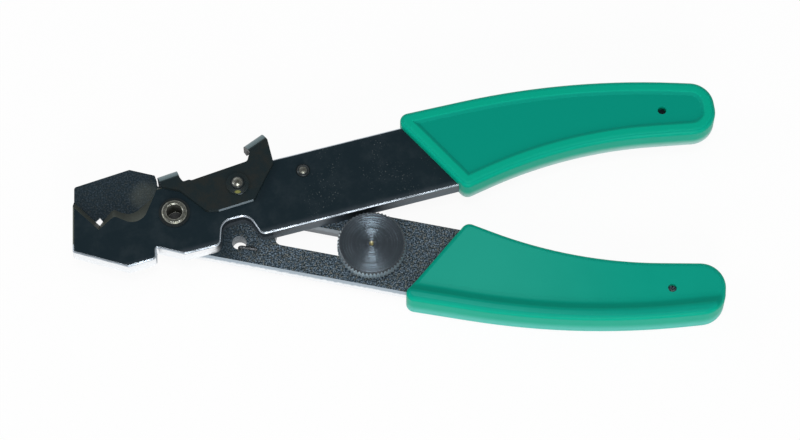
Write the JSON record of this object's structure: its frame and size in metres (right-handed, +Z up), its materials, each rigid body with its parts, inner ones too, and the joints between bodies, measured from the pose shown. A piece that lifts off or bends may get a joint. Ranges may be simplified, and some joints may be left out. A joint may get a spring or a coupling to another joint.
{
  "type": "wire stripping pliers",
  "caption": "Flat steel pliers with notched jaws, a side cutter, a thumb latch, an adjustable knurled stop wheel and curved plastic grips, for stripping and cutting cable wire",
  "frame": {"origin": "on the pivot axis, on the flat rear face of the pivot rivet's head, which is the plane the pliers lie on", "axes": "+X from the pivot along the centre line to the handles, +Y towards the front lever's handle, +Z up from the resting plane towards the front lever"},
  "size_m": [0.1336, 0.0518, 0.0114],
  "materials": {
    "lever_steel": "blackened, oiled steel plate, half matt, with a finely speckled punched face",
    "grip_plastic": "moulded green plastic, soft satin",
    "rivet_steel": "plain rivet steel, worn blackening",
    "spring_wire": "drawn spring wire",
    "latch_steel": "brown-black oxidised sheet, satin",
    "wheel_steel": "turned and blackened steel with fine turning rings"
  },
  "bodies": {
    "front_handle": {"front_lever": "lever_steel", "front_grip": "grip_plastic", "pivot_rivet": "rivet_steel", "pivot_washer": "rivet_steel", "spring_stud": "rivet_steel", "latch_rivet": "rivet_steel", "latch_washer": "latch_steel"},
    "rear_handle": {"rear_lever": "lever_steel", "rear_grip": "grip_plastic", "opening_spring": "spring_wire"},
    "thumb_latch": {"latch": "latch_steel"},
    "slot_slider": {"slot_nut": "wheel_steel", "wheel_washer": "wheel_steel"},
    "thumb_wheel": {"stop_wheel": "wheel_steel"}
  },
  "joints": [
    {"name": "handle_open", "type": "hinge", "parent": "front_handle", "child": "rear_handle", "pos_m": [0, 0, 0.00568], "axis": [0, 0, -1], "range_deg": [0, 18], "deforming": ["opening_spring"]},
    {"name": "latch_swing", "type": "hinge", "parent": "front_handle", "child": "thumb_latch", "pos_m": [0.01312, 0.00558, 0.0097], "axis": [0, 0, -1], "range_deg": [0, 27]},
    {"name": "wheel_slide", "type": "slide", "parent": "rear_handle", "child": "slot_slider", "axis": [0.973, -0.2309, 0], "range_m": [-0.001, 0.0035]},
    {"name": "wheel_turn", "type": "hinge", "parent": "slot_slider", "child": "thumb_wheel", "pos_m": [0.04033, -0.008, 0.0078], "axis": [0, 0, 1], "range_deg": [0, 270]}
  ],
  "couplings": [
    {"joint": "latch_swing", "follows": "handle_open", "ratio": 1.5}
  ]
}
